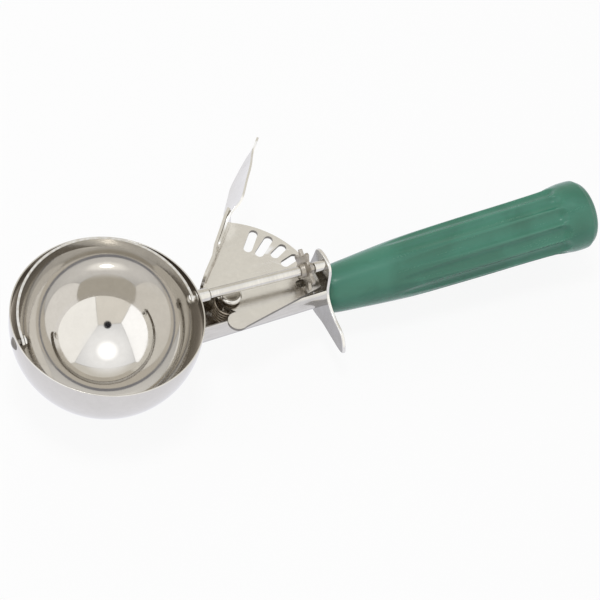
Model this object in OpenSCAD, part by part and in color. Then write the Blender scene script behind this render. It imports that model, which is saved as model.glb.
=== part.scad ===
// Thumb-press ice cream disher, in millimetres.
// Origin at the centre of the bowl's rim, X toward the handle, Z out of the bowl.

/* [Bowl] */
// Outer radius of the bowl
bowl_r = 32.2; // [28:0.1:36]
// Sheet thickness of the bowl
bowl_wall = 0.9; // [0.6:0.1:1.4]
// Straight height between the rim and the round part
bowl_collar = 4.3; // [3.6:0.1:7]

/* [Spindle] */
// Depth of the spindle's axis under the rim
spindle_drop = 3.3; // [3.1:0.1:5]
// Radius of the spindle rod
rod_r = 1.2; // [0.8:0.1:1.3]
// Radial clearance of a running fit
run_fit = 0.05; // [0.02:0.01:0.1]
// End clearance between turning and fixed pieces
end_gap = 0.35; // [0.3:0.05:0.8]
// Outer radius of the tube on the spindle rod
sleeve_r = 1.75; // [1.6:0.05:2]
// Outer radius of the bush in the bowl wall
bush_r = 2.2; // [2:0.1:2.8]
// Reach of that bush outside the bowl wall
bush_reach = 4; // [2:0.5:6]
// Radius of the rod's riveted end
rod_head_r = 1.9; // [1.6:0.1:2.4]
// Thickness of a rivet head
head_t = 0.9; // [0.6:0.1:1.5]

/* [Scraper blade] */
// Width of the scraper blade
blade_w = 5.2; // [4:0.2:6]
// Thickness of the scraper blade
blade_t = 0.8; // [0.6:0.1:1.2]
// Gap between the scraper blade and the bowl wall
blade_gap = 1.2; // [0.4:0.05:1.2]
// Rise of the blade's middle at rest, in degrees
blade_rise = 8; // [0:0.5:9]
// Shank radius of the rivet at the far end of the blade
rivet_r = 1.25; // [1:0.05:1.5]
// Head radius of that rivet
rivet_head_r = 2.2; // [2:0.1:2.6]

/* [Pinion] */
// Distance from the rim's centre to the middle of the pinion
pinion_x = 72.3; // [72:0.1:76]
// Number of teeth
pinion_teeth = 8; // [8:1:8]
// Thickness of the pinion plate
pinion_t = 1.2; // [1:0.1:1.4]
// Height of a tooth above the pitch radius
tooth_top = 0.7; // [0.6:0.02:0.9]
// Depth of a tooth under the pitch radius
tooth_foot = 1.7; // [1.6:0.1:2]
// Half the width of a tooth at its tip
tooth_tip = 0.65; // [0.4:0.05:0.8]
// Half the width of a tooth at its foot
tooth_base = 1.35; // [1.1:0.05:1.4]
// Radius of the pinion's hub
hub_r = 2.5; // [2.2:0.1:3.2]
// Length of the pinion's hub
hub_len = 1.6; // [1:0.1:2]
// Radius of the collar behind the pinion
collar_r = 2.1; // [1.6:0.1:2.6]
// Length of that collar
collar_len = 2; // [1:0.1:2.4]

/* [Slotted fan plate] */
// Sheet thickness of the fan plate
fan_t = 1.2; // [0.9:0.1:1.4]
// Outer radius of the fan plate
fan_r = 33; // [32.6:0.1:33.2]
// Number of slots
slot_count = 6; // [4:1:6]
// Angle between two slots, in degrees
slot_pitch = 10.8; // [10.8:0.1:10.8]
// Angle of the first slot from the handle's direction
slot_first = 51.3; // [51:0.1:51.8]
// Width of a slot
slot_w = 3.1; // [2.9:0.1:3.3]
// Distance between the fan's outer edge and the middle of a slot's outer end
slot_rim = 2.9; // [2.7:0.1:3]
// Distance between the fan's outer edge and the circle on which the pinion's teeth drop in
pitch_rim = 5.67; // [5.5:0.01:5.8]
// Length of a short slot between its end centres
slot_len = 4.1; // [3.8:0.1:6]
// Length of a long slot between its end centres
slot_len_long = 7; // [6.8:0.1:10]
// Number of long slots
slot_long_count = 2; // [0:1:4]
// Radius of the fan plate's rounded heel
heel_r = 3.5; // [3.3:0.1:3.7]
// Distance from the pivot to the middle of that heel
heel_off = 9.3; // [9:0.1:9.5]

/* [Thumb lever] */
// Direction of the fan's bent edge, in degrees
bend_turn = 49.2; // [48.5:0.1:50]
// Distance from the pivot to the inner face of the bent edge
bend_off = 9.7; // [9.4:0.1:11]
// Length of the upright flange
flange_len = 31; // [26:0.5:31.5]
// Sheet thickness of the flange
flange_t = 1; // [0.8:0.1:1.2]
// Height of the flange over the fan plate
flange_h = 6; // [5:0.5:7]
// Sheet thickness of the thumb tab
tab_t = 0.8; // [0.6:0.1:1.2]
// Length of the tab's stem along the flange
stem_len = 15; // [10:1:20]
// Reach of that stem past the flange
stem_reach = 2.5; // [2:0.1:3]
// Height of the stem's lower edge over the fan plate
stem_lift = 1.5; // [1.2:0.1:1.8]
// Length of the thumb tab beyond the flange
tab_len = 35; // [30:0.5:36]
// Width of the thumb tab
tab_w = 10.6; // [9.6:0.2:11.4]
// Lean of the thumb tab toward the handle, in degrees
tab_lean = 28; // [26:1:32]
// Distance of the thumb tab's middle line outward from the bent edge
tab_off = 1.8; // [1.6:0.1:2]
// Height of the tab's middle over the fan plate
tab_mid = 4.4; // [4.2:0.1:4.6]

/* [Pivot] */
// Radius of the pivot post
post_r = 1.6; // [1.3:0.1:1.8]
// Wall of the bush on the pivot post
fan_bush_wall = 0.75; // [0.6:0.05:1]
// Height of that bush over the fan plate
fan_bush_rise = 0.7; // [0.6:0.1:1.2]
// Radius of the post's head
post_head_r = 3.9; // [3.2:0.1:4.2]
// Thickness of the post's head
post_head_t = 1.3; // [1:0.1:1.8]
// Thickness of the washer under the head
washer_t = 0.5; // [0.4:0.1:0.8]

/* [Return spring] */
// Outer radius of the spring coil
spring_r = 5.1; // [5:0.1:6.2]
// Wire diameter
wire_d = 1.2; // [0.9:0.1:1.4]
// Number of turns
spring_turns = 5; // [3:1:5]
// Rise of one turn
spring_pitch = 1.4; // [1.3:0.05:1.45]
// Length of the spring's straight leg
leg_len = 8; // [6:0.5:9]

/* [Shank] */
// Depth of the shank's middle line under the rim
shank_drop = 13.3; // [13:0.1:14]
// Outer radius of the shank at the bowl
shank_r_bowl = 10.1; // [10:0.1:11.5]
// Outer radius of the shank at the guard
shank_r_guard = 8.4; // [7:0.1:8.5]
// Height of the shank's top edges over that middle line
shank_lip = 2.2; // [0:0.1:2.2]
// Sheet thickness of the shank
shank_wall = 1; // [0.8:0.1:1.4]

/* [Guard] */
// Distance from the rim's centre to the guard
guard_x = 79.5; // [79.3:0.1:81]
// Sheet thickness of the guard
guard_t = 1.2; // [1:0.1:1.6]
// Height of the guard's eye over the spindle's axis
guard_eye = 3.3; // [3.1:0.1:4]
// Half the width of the guard's body
guard_half = 8.6; // [8.2:0.1:9]
// Depth of the guard under the spindle's axis
guard_depth = 25; // [24.4:0.1:27]
// Sideways reach of the finger rest from the middle
tongue_reach = 25.2; // [22:0.2:27]
// Outer radius of the spindle bush in the guard
rear_bush_r = 1.95; // [1.8:0.05:2.4]
// Reach of that bush in front of the guard
rear_bush_reach = 4; // [2:0.1:4]

/* [Handle] */
// Height of the handle's axis over the rim at the guard, negative is under it
handle_z = -20.3; // [-20.8:0.1:-19.8]
// Rise of the handle toward its end, in degrees
handle_rise = 4.3; // [3:0.1:5]
// Length of the handle
handle_len = 107; // [95:0.5:125]
// Radius of the handle's nose
nose_r = 7.2; // [6.6:0.1:7.6]
// Radius of the grip at its end
grip_r = 12; // [11.4:0.1:12.4]
// Radius of the ring at the butt
ring_r = 12.9; // [12.6:0.1:13.6]
// Length of the plain ring at the butt
ring_len = 7; // [6:0.1:9]
// Number of flutes
flute_count = 12; // [8:1:14]
// Radius of the cutter that makes a flute
flute_cut_r = 8; // [6:0.5:10]
// Distance from the handle's axis to the bottom of a flute
flute_floor = 11.1; // [10.8:0.1:11.3]
// Plain length between the flutes and the ring
flute_stop = 5; // [3:0.5:10]
// Turn of the flutes round the handle, in degrees
flute_turn = -3.8; // [-15:0.1:15]
// Radius of the steel tang in the handle
tang_r = 3; // [2.5:0.1:4]
// Length of the tang in the handle
tang_len = 70; // [40:1:85]

/* [Hidden] */
$fn = 96;
eps = 0.5; // extra reach of a cutter past a face

steel = "silver";
brightSteel = "gainsboro";
darkSteel = "darkgray";
green = [0.31, 0.52, 0.44];

spindle_z = -spindle_drop;
round_z = -bowl_collar;
wall_in = bowl_r - bowl_wall;
blade_r = wall_in - blade_gap;
blade_in = blade_r - blade_t;
bush_end = bowl_r + bush_reach;
tooth_step = 360 / pinion_teeth;
ratio = tooth_step / slot_pitch;
pitch_r = fan_r - pitch_rim;
pinion_r = pitch_r / ratio;
pivot_x = pinion_x - pitch_r;
slot_out = fan_r - slot_rim;

pinion_front = pinion_x - pinion_t / 2;
pinion_back = pinion_x + pinion_t / 2;
sleeve_end = pinion_front - hub_len;
rear_bush_x = guard_x - rear_bush_reach;
rod_end = guard_x + guard_t + 0.3;

rest_slot = slot_first - round(slot_first / slot_pitch) * slot_pitch;
plate_z = spindle_z - pinion_r - fan_t / 2;
plate_top = plate_z + fan_t;

flange_lead = 0.4; // start of the flange before the plate's corner
post_bore = post_r + run_fit;
fan_bush_r = post_bore + fan_bush_wall;
washer_z = plate_top + fan_bush_rise + end_gap;
post_top = washer_z + washer_t + post_head_t;
shank_z = -shank_drop;
shank_slope = (shank_r_bowl - shank_r_guard) / (guard_x - bowl_r);
shank_r_post = shank_r_guard + shank_slope * (guard_x - pivot_x);
floor_z = shank_z - shank_r_post + shank_wall;
foot_z = floor_z - shank_wall;
foot_seat = shank_wall / 2; // depth of the post's foot in the shank's floor
post_foot_r = post_r + 1;
wire_r = wire_d / 2;
coil_r = spring_r - wire_r;
coil_top = plate_z - end_gap - wire_r;

// Points of a smooth closed outline through the given ones
function spline(a, b, c, d, t) =
    (2 * b + (c - a) * t + (2 * a - 5 * b + 4 * c - d) * t * t
     + (3 * b - a - 3 * c + d) * t * t * t) / 2;
function smooth_loop(p, n) = let (m = len(p))
    [for (i = [0:m - 1]) for (k = [0:n - 1])
        spline(p[(i + m - 1) % m], p[i], p[(i + 1) % m], p[(i + 2) % m], k / n)];

module along_x(x, r, len) {
    translate([x, 0, spindle_z]) rotate([0, 90, 0]) cylinder(r = r, h = len);
}

// Domed rivet head that starts at x and grows along X
module dome_x(x, r, t) {
    ball_r = (r * r + t * t) / (2 * t);
    translate([x, 0, spindle_z]) rotate([0, 90, 0]) intersection() {
        translate([0, 0, t - ball_r]) sphere(ball_r);
        cylinder(r = r, h = t);
    }
}

module cup(r, top) {
    translate([0, 0, round_z]) {
        sphere(r);
        cylinder(r = r, h = top - round_z);
    }
}

module bowl() {
    color(brightSteel) difference() {
        cup(bowl_r, 0);
        cup(wall_in, eps);
        translate([-bowl_r, -bowl_r, 0]) cube([2 * bowl_r, 2 * bowl_r, bowl_r]);
        along_x(-bowl_r - eps, rivet_r, bowl_wall + 2 * eps);
        along_x(wall_in - eps, bush_r, bowl_wall + 2 * eps);
    }
}

// Rivet that carries the far end of the blade, its dome outside
module far_rivet() {
    inner = -blade_in + end_gap + washer_t;
    color(steel) {
        along_x(-bowl_r, rivet_r, inner + bowl_r);
        mirror([1, 0, 0]) dome_x(bowl_r, rivet_head_r, head_t);
        dome_x(inner, rivet_head_r - 0.4, head_t);
    }
}

module rivet_washer() {
    color(darkSteel) difference() {
        along_x(-blade_in + end_gap, rivet_head_r, washer_t);
        along_x(-blade_in, rivet_r, washer_t + 2 * eps);
    }
}

module bowl_bush() {
    color(steel) difference() {
        along_x(wall_in, bush_r, bush_end - wall_in);
        along_x(wall_in - eps, rod_r + run_fit, bush_end - wall_in + 2 * eps);
    }
}

// Half-round tapering channel, open on top
module shank() {
    len = guard_x;
    r0 = shank_r_guard + shank_slope * len;
    color(steel) difference() {
        translate([0, 0, shank_z]) rotate([0, 90, 0])
            cylinder(r1 = r0, r2 = shank_r_guard, h = len);
        translate([-eps, 0, shank_z]) rotate([0, 90, 0])
            cylinder(r1 = r0 - shank_wall + eps * shank_slope,
                     r2 = shank_r_guard - shank_wall - eps * shank_slope, h = len + 2 * eps);
        translate([-eps, -2 * r0, shank_z + shank_lip]) cube([len + 2 * eps, 4 * r0, 2 * r0]);
        cup(bowl_r, 0);
        translate([pivot_x, 0, shank_z - r0 - eps]) cylinder(r = post_r, h = r0);
        translate([pivot_x, 0, foot_z - r0]) cylinder(r = post_foot_r, h = r0 + foot_seat);
    }
}

// Guard outline, Y to the right and heights from the spindle's axis
guard_line = [
    [guard_half - 1, -3.9], [guard_half - 2, 0.8], [2.2, guard_eye - 0.6],
    [-2.4, guard_eye - 1], [-4.3, 0.1], [-5, -3.6], [-5.7, -7.6], [-7.4, -10.4],
    [-10.7, -12.3], [-tongue_reach * 0.58, -13.3], [-tongue_reach * 0.83, -14.1],
    [-tongue_reach * 0.97, -18.8], [-tongue_reach * 0.9, -20.9], [-tongue_reach * 0.6, -22.1],
    [-guard_half, -guard_depth + 2], [-1, -guard_depth],
    [guard_half - 2, -guard_depth + 1.6], [guard_half + 0.6, -18]];

module guard() {
    color(steel) difference() {
        translate([guard_x, 0, spindle_z]) rotate([90, 0, 90])
            linear_extrude(guard_t) polygon(smooth_loop(guard_line, 6));
        along_x(guard_x - eps, rear_bush_r, guard_t + 2 * eps);
        on_handle() translate([0, 0, -guard_t - 3 * eps])
            cylinder(r = tang_r, h = guard_t + 6 * eps);
    }
}

module rear_bush() {
    len = rear_bush_reach + guard_t;
    color(brightSteel) difference() {
        along_x(rear_bush_x, rear_bush_r, len);
        along_x(rear_bush_x - eps, rod_r + run_fit, len + 2 * eps);
    }
}

// Places a shape on the handle's axis, with Z along it from the guard's back face
module on_handle() {
    translate([guard_x + guard_t, 0, handle_z]) rotate([0, 90 - handle_rise, 0]) children();
}

nose_gap = nose_r * tan(handle_rise);
tang_back = guard_t - tang_r * tan(handle_rise);

module tang() {
    color(steel) on_handle() translate([0, 0, -tang_back])
        cylinder(r = tang_r, h = tang_back + tang_len);
}

// Radius of the grip along its length, as [distance from the nose, radius]
grip_len = handle_len - ring_len;
grip_line = [
    [0, nose_r - 0.5], [0.5, nose_r], [grip_len * 0.04, nose_r + 1.2],
    [grip_len * 0.135, nose_r + 2.1], [grip_len * 0.23, nose_r + 2.95],
    [grip_len * 0.325, grip_r - 1.15], [grip_len * 0.42, grip_r - 0.78],
    [grip_len * 0.56, grip_r - 0.5], [grip_len * 0.75, grip_r - 0.28],
    [grip_len * 0.9, grip_r], [grip_len * 0.955, (grip_r + ring_r) / 2],
    [grip_len, ring_r], [grip_len + ring_len * 0.35, ring_r - 0.05],
    [grip_len + ring_len * 0.68, ring_r - 0.7], [grip_len + ring_len * 0.93, ring_r - 2],
    [handle_len, ring_r - 3.1]];

function open_line(p, n) = let (m = len(p) - 1)
    concat([for (i = [0:m - 1]) for (k = [0:n - 1])
        spline(p[max(i - 1, 0)], p[i], p[i + 1], p[min(i + 2, m)], k / n)], [p[m]]);

module flute_cutter() {
    reach = flute_floor + flute_cut_r;
    translate([reach, 0, nose_r]) cylinder(r = flute_cut_r, h = grip_len - flute_stop - nose_r);
}

module handle() {
    side = [for (p = open_line(grip_line, 3)) [p[1], p[0]]];
    color(green) on_handle() translate([0, 0, nose_gap]) difference() {
        rotate_extrude() polygon(concat([[0, 0]], side, [[0, handle_len]]));
        translate([0, 0, -eps]) cylinder(r = tang_r, h = tang_len - nose_gap + eps);
        for (i = [0:flute_count - 1])
            rotate([0, 0, flute_turn + i * 360 / flute_count]) flute_cutter();
    }
}

// Post riveted through the shank's floor, with a low domed head
module pivot_post() {
    ball_r = (post_head_r * post_head_r + post_head_t * post_head_t) / (2 * post_head_t);
    color(steel) translate([pivot_x, 0, 0]) {
        translate([0, 0, foot_z]) cylinder(r = post_r, h = washer_z + washer_t + post_head_t / 2 - foot_z);
        translate([0, 0, foot_z + foot_seat - head_t]) cylinder(r = post_foot_r, h = head_t);
        translate([0, 0, washer_z + washer_t]) intersection() {
            cylinder(r = post_head_r, h = post_head_t);
            translate([0, 0, post_head_t - ball_r]) sphere(ball_r);
        }
    }
}

module post_washer() {
    color(darkSteel) translate([pivot_x, 0, washer_z]) difference() {
        cylinder(r = post_head_r - 0.3, h = washer_t);
        translate([0, 0, -eps]) cylinder(r = post_r, h = washer_t + 2 * eps);
    }
}

// Coil path from the top down, then a straight leg toward the handle
coil_steps = 24;
function coil_point(i) = let (a = i * 360 / coil_steps)
    [coil_r * cos(a), coil_r * sin(a), -spring_pitch * i / coil_steps];
last_step = spring_turns * coil_steps - coil_steps / 4;
wire_path = concat(
    [for (i = [0:last_step]) coil_point(i)],
    [for (k = [1:4]) coil_point(last_step) + [1, 0.1, 0] * leg_len * k / 4]);

// Round tube through points, as one closed solid
module wire(path, r, sides) {
    n = len(path);
    ahead = [for (i = [0:n - 1]) let (d = path[min(i + 1, n - 1)] - path[max(i - 1, 0)])
        d / norm(d)];
    rings = [for (i = [0:n - 1]) let (
            out = cross(ahead[i], [0, 0, 1]),
            side = out / norm(out),
            up = cross(side, ahead[i]))
        for (k = [0:sides - 1])
            path[i] + r * (cos(k * 360 / sides) * side + sin(k * 360 / sides) * up)];
    walls = [for (i = [0:n - 2]) for (k = [0:sides - 1])
        let (j = (k + 1) % sides)
        [i * sides + k, i * sides + j, (i + 1) * sides + j, (i + 1) * sides + k]];
    caps = [[for (k = [sides - 1:-1:0]) k], [for (k = [0:sides - 1]) (n - 1) * sides + k]];
    polyhedron(points = rings, faces = concat(walls, caps));
}

module return_spring() {
    color(darkSteel) translate([pivot_x, 0, coil_top]) wire(wire_path, wire_r, 8);
}

module slot(len) {
    translate([slot_out - len, -slot_w / 2]) square([len, slot_w]);
    translate([slot_out - len, 0]) circle(d = slot_w);
    translate([slot_out, 0]) circle(d = slot_w);
}

// Fan outline in the plate's plane, pivot at the origin
module fan_outline() {
    edge = [cos(bend_turn), sin(bend_turn)];
    off = [-sin(bend_turn), cos(bend_turn)] * (bend_off + flange_t / 2);
    far = edge * (flange_len + fan_r) + off;
    intersection() {
        circle(r = fan_r, $fn = 192);
        polygon([[0, heel_r - heel_off], [-heel_r * 0.38, -heel_off + heel_r * 0.75],
                 [-heel_r * 0.3, -heel_off - heel_r], [fan_r * 1.4, -heel_r * 0.3],
                 [fan_r * 1.4, fan_r * 1.4], far, off, [-post_head_r * 1.08, post_head_r * 0.56],
                 [-post_head_r * 0.85, post_head_r * 0.1], [-post_head_r * 0.8, -post_head_r * 0.36],
                 [-post_head_r * 0.56, -post_head_r * 0.82]]);
    }
    translate([-heel_r / 5, -heel_off]) circle(r = heel_r);
}

module in_lever() {
    translate([pivot_x, 0, 0]) rotate([0, 0, bend_turn]) children();
}

module fan_plate() {
    color(brightSteel) {
        difference() {
            translate([pivot_x, 0, plate_z]) linear_extrude(fan_t) difference() {
                fan_outline();
                for (k = [0:slot_count - 1])
                    rotate(slot_first - k * slot_pitch)
                        slot(k < slot_long_count ? slot_len_long : slot_len);
            }
            translate([pivot_x, 0, plate_z - eps])
                cylinder(r = fan_bush_r, h = fan_t + 2 * eps);
        }
        in_lever() translate([-flange_lead, bend_off, plate_z])
            cube([flange_len + flange_lead, flange_t, fan_t + flange_h]);
    }
}

module fan_bush() {
    color(steel) translate([pivot_x, 0, 0]) difference() {
        translate([0, 0, plate_z]) cylinder(r = fan_bush_r, h = fan_t + fan_bush_rise);
        translate([0, 0, plate_z - eps]) cylinder(r = post_bore, h = fan_t + fan_bush_rise + 2 * eps);
    }
}

// Leaf outline, X outward from the flange's end and Y up the leaf
leaf_line = [
    [0, -0.12], [0.1, -0.28], [0.22, -0.44], [0.37, -0.55], [0.52, -0.57], [0.67, -0.5],
    [0.82, -0.32], [0.93, -0.14], [1, 0.02], [0.92, 0.1], [0.8, 0.18], [0.65, 0.28],
    [0.5, 0.37], [0.35, 0.45], [0.2, 0.5], [0.1, 0.51], [0, 0.48]];

module thumb_tab() {
    stem_top = tab_mid + (tab_off + tab_t / 2) / tan(tab_lean); // where the leaf meets the stem
    leaf = [for (p = smooth_loop(leaf_line, 4)) [p[0] * tab_len, p[1] * tab_w]];
    color(steel) in_lever() {
        translate([flange_len - stem_len, bend_off, plate_top])
            rotate([90, 0, 0]) linear_extrude(tab_t)
                polygon([[0, stem_lift], [stem_len, stem_lift], [stem_len + stem_reach, stem_top - tab_t],
                         [stem_len + stem_reach * 2, stem_top], [stem_len, stem_top],
                         [stem_len - stem_reach * 2, flange_h], [stem_lift, flange_h],
                         [0, flange_h - stem_lift]]);
        translate([flange_len + flange_lead / 4, bend_off + tab_off, plate_top + tab_mid])
            rotate([90 + tab_lean, 0, 0]) linear_extrude(tab_t) polygon(leaf);
    }
}

module spindle_rod() {
    color(steel) {
        along_x(blade_in, rod_r, rod_end - blade_in);
        mirror([1, 0, 0]) dome_x(-blade_in, rod_head_r, head_t);
    }
}

module spindle_sleeve() {
    start = bush_end + end_gap;
    color(brightSteel) difference() {
        along_x(start, sleeve_r, sleeve_end - start);
        along_x(start - eps, rod_r, sleeve_end - start + 2 * eps);
    }
}

module spindle_collar() {
    color(darkSteel) difference() {
        along_x(pinion_back, collar_r, collar_len);
        along_x(pinion_back - eps, rod_r, collar_len + 2 * eps);
    }
}

// Star-shaped pinion, one tooth in the slot that lies under it at rest
module pinion() {
    foot_r = pinion_r - tooth_foot;
    tip_r = pinion_r + tooth_top;
    star = [for (i = [0:pinion_teeth - 1])
        let (a = i * tooth_step, c = [cos(a), sin(a)], s = [-sin(a), cos(a)])
        each [c * foot_r - s * tooth_base, c * tip_r - s * tooth_tip,
              c * tip_r + s * tooth_tip, c * foot_r + s * tooth_base]];
    color(steel) difference() {
        union() {
            translate([pinion_front, 0, spindle_z]) rotate([rest_slot * ratio, 0, 0])
                rotate([0, 90, 0]) linear_extrude(pinion_t) polygon(star);
            along_x(sleeve_end, hub_r, hub_len + pinion_t);
        }
        along_x(sleeve_end - eps, rod_r, hub_len + pinion_t + 2 * eps);
    }
}

// Half-ring blade on the +Y side at rest, its middle a little raised
module scraper_blade() {
    color(brightSteel) translate([0, 0, spindle_z]) rotate([blade_rise, 0, 0])
        translate([0, 0, -spindle_z]) difference() {
        union() {
            translate([0, 0, spindle_z - blade_w / 2]) difference() {
                cylinder(r = blade_r, h = blade_w);
                translate([0, 0, -eps]) cylinder(r = blade_in, h = blade_w + 2 * eps);
                translate([-bowl_r, -bowl_r, -eps])
                    cube([2 * bowl_r, bowl_r, blade_w + 2 * eps]);
            }
            along_x(-blade_r, blade_w / 2, blade_t);
            along_x(blade_in, blade_w / 2, blade_t);
        }
        along_x(-blade_r - eps, rivet_r + run_fit, blade_t + 2 * eps);
        along_x(blade_in - eps, rod_r, blade_t + 2 * eps);
    }
}

bowl();
far_rivet();
rivet_washer();
bowl_bush();
shank();
guard();
rear_bush();
tang();
handle();
pivot_post();
post_washer();
return_spring();
fan_plate();
fan_bush();
thumb_tab();
spindle_rod();
spindle_sleeve();
spindle_collar();
pinion();
scraper_blade();
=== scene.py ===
import bpy, bmesh, math
from mathutils import Matrix, Vector


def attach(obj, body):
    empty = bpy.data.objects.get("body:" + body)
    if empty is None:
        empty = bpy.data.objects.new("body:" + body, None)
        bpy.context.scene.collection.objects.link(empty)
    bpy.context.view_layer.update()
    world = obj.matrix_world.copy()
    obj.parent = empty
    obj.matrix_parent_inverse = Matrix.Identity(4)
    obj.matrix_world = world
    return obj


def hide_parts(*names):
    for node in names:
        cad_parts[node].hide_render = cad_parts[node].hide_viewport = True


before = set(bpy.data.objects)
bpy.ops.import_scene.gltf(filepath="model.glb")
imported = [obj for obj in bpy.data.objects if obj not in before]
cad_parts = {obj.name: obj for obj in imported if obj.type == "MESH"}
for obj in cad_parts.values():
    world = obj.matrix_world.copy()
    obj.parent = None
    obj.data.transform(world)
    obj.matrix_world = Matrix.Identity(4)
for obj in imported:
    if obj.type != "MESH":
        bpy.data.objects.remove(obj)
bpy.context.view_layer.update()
mm = 0.001
pi = math.pi


def deselectAll():
    if bpy.context.object and bpy.context.object.mode != "OBJECT":
        bpy.ops.object.mode_set(mode="OBJECT")
    bpy.ops.object.select_all(action="DESELECT")


def only(piece):
    deselectAll()
    piece.select_set(True)
    bpy.context.view_layer.objects.active = piece


def edit(piece, kind="VERT", everything=False):
    only(piece)
    bpy.ops.object.mode_set(mode="EDIT")
    bpy.ops.mesh.select_mode(type=kind)
    bpy.ops.mesh.select_all(action="SELECT" if everything else "DESELECT")


def pick(piece, kind, test):    # selects by place or normal, in edit mode
    bpy.ops.mesh.select_mode(type=kind)
    bpy.ops.mesh.select_all(action="DESELECT")
    mesh = bmesh.from_edit_mesh(piece.data)
    mesh.normal_update()
    parts = {"VERT": mesh.verts, "EDGE": mesh.edges, "FACE": mesh.faces}[kind]
    for part in parts:
        if test(part):
            part.select_set(True)
    mesh.select_flush_mode()
    bmesh.update_edit_mesh(piece.data)


def middle(edge):
    return (edge.verts[0].co + edge.verts[1].co) / 2


def done():
    bpy.ops.object.mode_set(mode="OBJECT")


def bake(piece):    # puts an object's place and turn into its mesh
    only(piece)
    bpy.ops.object.transform_apply(location=True, rotation=True, scale=True)


def place(piece, matrix):
    piece.matrix_world = matrix @ piece.matrix_world
    bake(piece)


def applied(piece, kind, **settings):
    only(piece)
    modifier = piece.modifiers.new(kind.lower(), kind)
    for key, value in settings.items():
        setattr(modifier, key, value)
    bpy.ops.object.modifier_apply(modifier=modifier.name)


def softened(piece, width, segments=2, angle=35):    # small rounded edges
    applied(piece, "BEVEL", width=width * mm, segments=segments, limit_method="ANGLE",
            angle_limit=math.radians(angle), use_clamp_overlap=True)


def shaded(piece, angle=40, weighted=True):
    only(piece)
    bpy.ops.object.shade_smooth_by_angle(angle=math.radians(angle))
    if weighted:
        applied(piece, "WEIGHTED_NORMAL", keep_sharp=True, weight=90)


def outward(piece):
    edit(piece, everything=True)
    bpy.ops.mesh.remove_doubles(threshold=0.000002)
    bpy.ops.mesh.normals_make_consistent(inside=False)
    done()


def smoothLine(points, steps):    # points on a smooth curve through the given ones
    line = []
    for i in range(len(points) - 1):
        a, b = points[max(i - 1, 0)], points[i]
        c, d = points[i + 1], points[min(i + 2, len(points) - 1)]
        for k in range(steps):
            t = k / steps
            line.append(tuple((2 * q + (r - p) * t + (2 * p - 5 * q + 4 * r - s) * t * t
                               + (3 * q - p - 3 * r + s) * t ** 3) / 2
                              for p, q, r, s in zip(a, b, c, d)))
    return line + [tuple(points[-1])]


def turned(name, profile, sides=64, closed=False):    # a lathe: a circle drawn out along Z
    deselectAll()
    along, radius = profile[0]
    bpy.ops.mesh.primitive_circle_add(vertices=sides, radius=radius * mm, location=(0, 0, along * mm),
                                      fill_type="NOTHING" if closed else "NGON")
    piece = bpy.context.object
    piece.name = name
    bake(piece)
    edit(piece, "EDGE" if closed else "FACE", everything=True)
    for far, wide in profile[1:]:
        bpy.ops.mesh.extrude_region_move(TRANSFORM_OT_translate={"value": (0, 0, (far - along) * mm)})
        grow = max(wide, 0.004) / radius
        bpy.ops.transform.resize(value=(grow, grow, 1), center_override=(0, 0, far * mm))
        along, radius = far, max(wide, 0.004)
    if radius < 0.01:
        bpy.ops.mesh.merge(type="CENTER")
    done()
    outward(piece)
    return piece


def cadCopy(node, name):    # a CAD node's own shape, merged and cleared of its inner triangle lines
    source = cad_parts[node]
    piece = bpy.data.objects.new(name, source.data.copy())
    bpy.context.scene.collection.objects.link(piece)
    edit(piece, everything=True)
    bpy.ops.mesh.remove_doubles(threshold=0.000001)
    bpy.ops.mesh.dissolve_limited(angle_limit=math.radians(1.5), use_dissolve_boundaries=False)
    done()
    return piece


def finishPiece(piece, body, slotName, material, *nodes):
    if bpy.context.object and bpy.context.object.mode != "OBJECT":
        done()
    piece.data.materials.clear()
    piece.data.materials.append(material)
    for face in piece.data.polygons:
        face.material_index = 0
    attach(piece, body)
    if nodes:
        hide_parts(*nodes)
    print("made", piece.name, len(piece.data.polygons), "faces")


def secondTone(piece, material, test):    # gives the faces that pass the test another material
    piece.data.materials.append(material)
    last = len(piece.data.materials) - 1
    for face in piece.data.polygons:
        if test(face):
            face.material_index = last


def unioned(first, *others):
    for other in others:
        applied(first, "BOOLEAN", operation="UNION", object=other, solver="EXACT")
        bpy.data.objects.remove(other)


def cutBy(first, cutter):
    applied(first, "BOOLEAN", operation="DIFFERENCE", object=cutter, solver="EXACT")
    bpy.data.objects.remove(cutter)


# materials

def nodeSet(tree):
    def add(kind, **values):
        node = tree.nodes.new(kind)
        for key, value in values.items():
            if key in node.inputs:
                node.inputs[key].default_value = value
            else:
                setattr(node, key, value)
        return node
    return add, tree.links.new


def groupNode(tree, group, **values):
    node = tree.nodes.new("ShaderNodeGroup")
    node.node_tree = group
    for key, value in values.items():
        node.inputs[key].default_value = value
    return node


def newGroup(name, inputs, outputs):
    group = bpy.data.node_groups.new(name, "ShaderNodeTree")
    for title, kind, value in inputs:
        socket = group.interface.new_socket(title, in_out="INPUT", socket_type=kind)
        if value is not None:
            socket.default_value = value
    for title, kind in outputs:
        group.interface.new_socket(title, in_out="OUTPUT", socket_type=kind)
    return group, group.nodes.new("NodeGroupInput"), group.nodes.new("NodeGroupOutput")


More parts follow.
